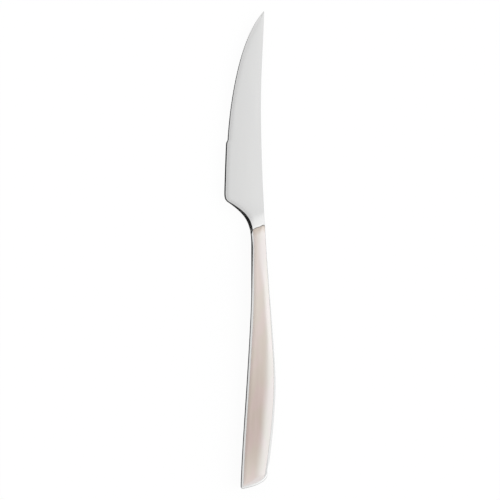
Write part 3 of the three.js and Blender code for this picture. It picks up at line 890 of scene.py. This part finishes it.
# %% Shoulders of an inlay, in millimetres
INLAY_LIP = 0.15  # side of the inlay above the rim
FRONT_ROUND = 1.8
FRONT_START = 0.67  # share of the rise that the front wall takes before the shoulder begins
HEAD_ROUND = 1.5
HEAD_START = 0.7
BUTT_ROUND = 3.9
BUTT_START = 0.5
FLANK_HEIGHTS = (BUTT_Y, -92, -70, -54, -28, -14, -3, 1, 3.5)
FLANK_WIDTHS = (3.9, 4.3, 3.7, 2.5, 2.5, 3.9, 3.9, 1.9, 0.9)
BUTT_PAINTED_SHEEN = (0.7, 4.2)  # width of the butt's band of painted sheen at the front and at the back
ROUND_STEPS = 14
ROUND_CROWDING = 1.5  # above 1, rows crowd towards the sides
LAND_STEPS = 12
ROW_STEP = 0.8
SIDE_POINTS = 1500  # on each side, to measure distances from


def flank_at(y):
    return np.interp(y, FLANK_HEIGHTS, FLANK_WIDTHS)


print("the flank is", round(float(flank_at(SWELL_Y)), 1), "mm wide at the swell")


# %% A flat slab with the plan of an inlay
def spaced(size, first, last, middle_steps):
    """Distances over a size, closer together over the rounds at its two ends."""
    part = np.linspace(0, 1, ROUND_STEPS + 1) ** ROUND_CROWDING
    middle = np.linspace(first, size - last, middle_steps + 1)[1:-1]
    return np.concatenate([part * first, middle, size - part[::-1] * last])


def nearest(plan, points):
    """Distance from each point of a plan to the nearest point of a line."""
    flat = plan.reshape(-1, 2)
    found = [np.sqrt(((points - p) ** 2).sum(axis=1).min()) for p in flat]
    return np.array(found).reshape(plan.shape[:2])


def flat_inlay(name, side):
    """A flat slab with the plan of the inlay, whose points know their distances from its sides."""
    middle_rows = round(inlay_length / ROW_STEP)
    down = spaced(inlay_length, HEAD_ROUND, BUTT_ROUND, middle_rows) / inlay_length
    edges = [place_inlay(down, np.full_like(down, share)) for share in (0.0, 1.0)]
    row_widths = np.linalg.norm(edges[1] - edges[0], axis=1)
    flanks = flank_at(edges[1][:, 1])
    shares = np.stack([
        spaced(width, FRONT_ROUND, flank, LAND_STEPS) / width for width, flank in zip(row_widths, flanks)])
    plan = place_inlay(np.repeat(down[:, None], shares.shape[1], axis=1), shares)
    wall_top = HALF_TANG + INLAY_LIP
    face = np.concatenate([plan, np.full(plan.shape[:2] + (1,), side * wall_top)], axis=2)
    floor = np.concatenate([plan, np.full(plan.shape[:2] + (1,), side * INLAY_FLOOR)], axis=2)
    slab = skin(name, face, floor) if side > 0 else skin(name, floor, face)
    walk = np.linspace(0, 1, SIDE_POINTS)
    nothing = np.zeros_like(walk)
    sides = {
        "from_front": place_inlay(walk, nothing), "from_back": place_inlay(walk, nothing + 1),
        "from_head": place_inlay(nothing, walk), "from_butt": place_inlay(nothing + 1, walk)}
    distances = {label: nearest(plan, points) for label, points in sides.items()}
    distances["flank"] = flank_at(plan[:, :, 1])
    for label, values in distances.items():
        give_attribute(slab, label, both_halves(values) * MM)
    # off_ridge places the painted sheen: flank widths off the back, or band widths off the butt
    off_back = distances["from_back"] / distances["flank"]
    off_butt = distances["from_butt"] / mix(*BUTT_PAINTED_SHEEN, smooth(shares))
    give_attribute(slab, "off_ridge", both_halves(np.minimum(off_back, off_butt)))
    on_face = np.ones(plan.shape[:2])
    halves = [on_face, 0 * on_face] if side > 0 else [0 * on_face, on_face]
    give_attribute(slab, "on_face", np.concatenate(halves, axis=1))
    return slab


# %% The tree that lifts an inlay
lift_sizes = (
    "Rise", "Front round", "Front start", "Head round", "Head start", "Butt round", "Butt start",
    "Crispness", "Blend")
lift_attributes = ("from_front", "from_back", "from_head", "from_butt", "flank", "on_face")
lift_tree, known = new_tree("inlay_shoulders", lift_sizes, dict.fromkeys(lift_attributes, "FLOAT"))

shoulders = (  # a name, the distance from a side, the shoulder's width, its start and its crispness
    ("front", "from_front", "Front round", "Front start", 0.0),
    ("back", "from_back", "flank", 0.0, "Crispness"),
    ("head", "from_head", "Head round", "Head start", 0.0),
    ("butt", "from_butt", "Butt round", "Butt start", "Crispness"),
)
for name, *terms in shoulders:
    distance, width, start, crisp = (known.get(term, term) for term in terms)
    part = add_node(lift_tree, "ShaderNodeMath", {
        0: distance, 1: width}, operation="DIVIDE", use_clamp=True).outputs[0]
    angle = add_node(lift_tree, "ShaderNodeMath", {0: part, 1: math.pi / 2}, operation="MULTIPLY")
    arc = add_node(lift_tree, "ShaderNodeMath", {0: angle.outputs[0]}, operation="SINE")
    curve = add_node(lift_tree, "ShaderNodeMix", {
        "Factor": crisp, "A": arc.outputs[0], "B": part}, data_type="FLOAT")
    known[name] = add_node(lift_tree, "ShaderNodeMapRange", {
        "Value": curve.outputs["Result"], "To Min": start}).outputs[0]

lift_sums = (  # the lowest shoulder counts, rounded where sides and ends meet
    ("sides", "MINIMUM", "front", "back"),
    ("ends", "MINIMUM", "head", "butt"),
    ("lowest", "SMOOTH_MIN", "sides", "ends", "Blend"),
    ("raised", "MULTIPLY", "lowest", "Rise"),
    ("lifted", "MULTIPLY", "raised", "on_face"),
)
for name, operation, *terms in lift_sums:
    sockets = {index: known.get(term, term) for index, term in enumerate(terms)}
    known[name] = add_node(lift_tree, "ShaderNodeMath", sockets, operation=operation).outputs[0]
upwards = add_node(lift_tree, "ShaderNodeCombineXYZ", {"Z": known["lifted"]})
end_tree(lift_tree, known, upwards.outputs[0])
print("the inlays' tree has", len(lift_tree.nodes), "nodes")

# %% Both inlays
CRISPNESS = 0.4
CORNER_BLEND = 0.2  # share of the rise over which flank and butt run into each other

inlays = []
for face, side in (("front", 1), ("rear", -1)):
    inlay = flat_inlay(f"{face}_inlay_pearl", side)
    add_tree(inlay, lift_tree, {
        "Rise": side * (CROWN - HALF_TANG - INLAY_LIP) * MM, "Front round": FRONT_ROUND * MM,
        "Front start": FRONT_START, "Head round": HEAD_ROUND * MM, "Head start": HEAD_START,
        "Butt round": BUTT_ROUND * MM, "Butt start": BUTT_START, "Crispness": CRISPNESS,
        "Blend": CORNER_BLEND, "Material": pearl})
    settle(inlay)
    cut_away(inlay, pin_holes(pearl))
    inlays.append(inlay)
    print(inlay.name, len(inlay.data.polygons), "faces")

# %% [markdown]
# ## Smooth faces and sharp edges
# A fine mesh still shows its facets unless its normals are shared between faces. Sharing all of them
# would smear light around real corners, such as the wall of a tray. So faces are shaded smooth, and
# every edge that turns by more than an angle is marked as sharp. Weighted normals then let the large
# faces stay flat, so that only the small arcs along the edges bend the light.

# %% Shade the new pieces
SHARP_ANGLE = math.radians(32)

for piece in (blade, *inlays):
    piece.data.shade_smooth()
    piece.data.set_sharp_from_angle(angle=SHARP_ANGLE)
    weighted = piece.modifiers.new("weighted", "WEIGHTED_NORMAL")
    weighted.keep_sharp = True
    settle(piece)
    print(piece.name, "has", len(piece.data.vertices), "points")

# %% [markdown]
# ## What lies inside
# The glue films and the pins are hidden once the inlays are in. Their solids have the right shape
# already, so they stay as they are and only get their finish: cured glue with fine clouding, and
# drawn steel with lines along the pin.

# %% Glue and pins
GLUE_CLOUD = 3  # widths and lengths in millimetres
DRAWN_LINE = 0.25
DRAWN_LENGTH = 4


def dress(node, material):
    """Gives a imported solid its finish."""
    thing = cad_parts[node]
    if not thing.material_slots:
        thing.data.materials.append(None)
    for slot in thing.material_slots:
        slot.material = material


# Cured epoxy: cream, slightly cloudy and dull
glue = clouded_finish(
    "cured_epoxy_film", pattern=(GLUE_CLOUD, GLUE_CLOUD), detail=3.0, colours=("#d8cfbb", "#e4dccb"),
    roughness=(0.45, 0.65), surface={"IOR": 1.55})
# Drawn steel wire: grey, with fine lines left by the die
pin_steel = clouded_finish(
    "drawn_pin_steel", pattern=(DRAWN_LINE, DRAWN_LENGTH), detail=2.0, colours=("#acaeb0", "#bcbec0"),
    roughness=(0.3, 0.5), surface={"Metallic": 1.0})
for film in ("front_adhesive", "rear_adhesive"):
    dress(film, glue)
for pin in pins:
    dress(pin, pin_steel)
print("dressed the films and", len(pins), "pins")

# %% [markdown]
# ## Pieces and bodies
# The knife is rigid, so it has one body and every piece rides on it. Each new piece also hides the
# solid that it stands for, and says which one that is.

# %% Tie the pieces to the frame
stands_for = {blade: ("blade_and_tang", "blade_steel")}
for inlay, node in zip(inlays, ("front_inlay", "rear_inlay")):
    stands_for[inlay] = (node, "pearl_inlay")
for piece, (node, slot) in stands_for.items():
    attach(piece, "root")
    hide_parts(node)
    print(piece.name, "stands for", node)

# %% [markdown]
# ## A white table, a soft studio and a black card
# Polished steel has no colour of its own: it shows the room. So the room is built, as a product
# photographer builds it: a white tent that gets brighter to the right, a soft box on the right and
# others beyond the tip and the butt, and a black card low on the left, which draws the dark line
# along the choil and the edge. Lamps would give hard spots, so tent and boxes are gradients in the
# world. Only reflections see the card, so it takes no light from the table.

# %% The studio
TENT = 0.96  # light straight above
TENT_SIDE = 0.13  # how much brighter it gets to the right, and darker to the left
TENT_SIDE_REACH = 0.4
TENT_LOW = 0.5  # how much darker it gets towards the table
DARKEST = 0.05
SOFT_BOXES = (  # light, degrees above the table, degrees round from X, degrees of full light and of any
    (1.0, 28, 10, 16, 46),  # on the right
    (0.44, 40, 113, 3, 37),  # beyond the tip
    (0.18, 32, 116, 4, 18),  # a brighter spot in it
    (0.41, 45, 312, 6, 30),  # beyond the butt
)

world = bpy.data.worlds.new("studio")
bpy.context.scene.world = world
world.use_nodes = True
tent = world.node_tree
tent.nodes.clear()
direction = add_node(tent, "ShaderNodeTexCoord").outputs["Generated"]
axes = add_node(tent, "ShaderNodeSeparateXYZ", {"Vector": direction})
upright = add_node(tent, "ShaderNodeMath", {
    0: axes.outputs["Z"], 1: TENT_LOW, 2: TENT - TENT_LOW}, operation="MULTIPLY_ADD")
sideways = add_node(tent, "ShaderNodeMapRange", {
    "Value": axes.outputs["X"], "From Min": -TENT_SIDE_REACH, "From Max": TENT_SIDE_REACH,
    "To Min": -TENT_SIDE, "To Max": TENT_SIDE}, interpolation_type="SMOOTHSTEP")
total = add_node(tent, "ShaderNodeMath", {
    0: upright.outputs[0], 1: sideways.outputs[0]}, operation="ADD")
for light, *degrees in SOFT_BOXES:
    elevation, turn, inner, outer = (math.radians(angle) for angle in degrees)
    flat = math.cos(elevation)
    box_way = (flat * math.cos(turn), flat * math.sin(turn), math.sin(elevation))
    towards = add_node(tent, "ShaderNodeVectorMath", {0: direction, 1: box_way}, operation="DOT_PRODUCT")
    box_light = add_node(tent, "ShaderNodeMapRange", {
        "Value": towards.outputs["Value"], "From Min": math.cos(outer), "From Max": math.cos(inner),
        "To Max": light}, interpolation_type="SMOOTHSTEP")
    total = add_node(tent, "ShaderNodeMath", {
        0: total.outputs[0], 1: box_light.outputs[0]}, operation="ADD")
level = add_node(tent, "ShaderNodeMath", {0: total.outputs[0], 1: DARKEST}, operation="MAXIMUM")
background = add_node(tent, "ShaderNodeBackground", {
    "Color": linear("#ffffff"), "Strength": level.outputs[0]})
add_node(tent, "ShaderNodeOutputWorld", {"Surface": background.outputs[0]})
print("lit by", world.name)

# %% Table and card, in metres
TABLE_SIZE = 8.0
TABLE_GAP = 0.1 * MM  # below the knife
TABLE_GLOW = 0.92  # share of the table's white that doesn't depend on the light
CARD_X = -0.15
CARD_Y = (-0.26, 0.18)
CARD_HEIGHT = 0.2


def sheet_object(name, corners):
    """A flat sheet beside the knife, not tied to its body."""
    mesh = bpy.data.meshes.new(name)
    mesh.from_pydata(corners, [], [tuple(range(len(corners)))])
    thing = add_object(name, mesh)
    return thing


def table_white():
    """Matt white board that stays white to the eye and in reflections, and still takes a shadow."""
    material = new_material("white_table")
    tree = material.node_tree
    share = 1 - TABLE_GLOW
    matt = add_node(tree, "ShaderNodeBsdfDiffuse", {"Color": (share, share, share, 1)})
    path = add_node(tree, "ShaderNodeLightPath").outputs
    seen = add_node(tree, "ShaderNodeMath", {
        0: path["Is Camera Ray"], 1: path["Is Glossy Ray"]}, operation="ADD")
    shown = add_node(tree, "ShaderNodeMath", {
        0: seen.outputs[0], 1: path["Is Transmission Ray"]}, operation="ADD", use_clamp=True)
    strength = add_node(tree, "ShaderNodeMath", {
        0: shown.outputs[0], 1: TABLE_GLOW}, operation="MULTIPLY")
    glow = add_node(tree, "ShaderNodeEmission", {"Strength": strength.outputs[0]})
    both = add_node(tree, "ShaderNodeAddShader", {0: matt.outputs[0], 1: glow.outputs[0]})
    add_node(tree, "ShaderNodeOutputMaterial", {"Surface": both.outputs[0]})
    return material


def black_card():
    """Matt black card: a deep, even black."""
    material = new_material("black_card")
    tree = material.node_tree
    matt = add_node(tree, "ShaderNodeBsdfDiffuse", {"Color": linear("#050505")})
    add_node(tree, "ShaderNodeOutputMaterial", {"Surface": matt.outputs[0]})
    return material


half = TABLE_SIZE / 2
table_level = cad_box[0].z - TABLE_GAP
table = sheet_object("table", [
    (-half, -half, table_level), (half, -half, table_level),
    (half, half, table_level), (-half, half, table_level)])
table.data.materials.append(table_white())
card = sheet_object("card", [
    (CARD_X, CARD_Y[0], 0), (CARD_X, CARD_Y[1], 0),
    (CARD_X, CARD_Y[1], CARD_HEIGHT), (CARD_X, CARD_Y[0], CARD_HEIGHT)])
card.data.materials.append(black_card())
card.visible_camera = False
card.visible_diffuse = False
card.visible_shadow = False
card.visible_transmission = False
print("table at", round(table_level / MM, 2), "mm")

# %% [markdown]
# ## The camera
# The photograph looks straight down from far away, with half a millimetre to a pixel. An
# orthographic camera would do for this view alone. A long lens looks almost the same and also works
# when the camera is moved round the knife.

# %% Look straight down
VIEW_WIDTH = 250 * MM  # what the picture shows, at the height of the blade
VIEW_MIDDLE = (-3.69, -9.745)  # in the drawing's millimetres
LENS = 180
SENSOR = 36

camera_data = bpy.data.cameras.new("camera")
camera_data.lens = LENS
camera_data.sensor_width = SENSOR
camera = add_object("camera", camera_data)
distance = VIEW_WIDTH * LENS / SENSOR
middle = (drawing_zero + (*VIEW_MIDDLE, 0)) * MM
camera.location = (middle[0], middle[1], middle[2] + distance)
bpy.context.scene.camera = camera
bpy.context.scene.view_settings.view_transform = "Standard"
print("camera", round(distance, 3), "m above the blade")
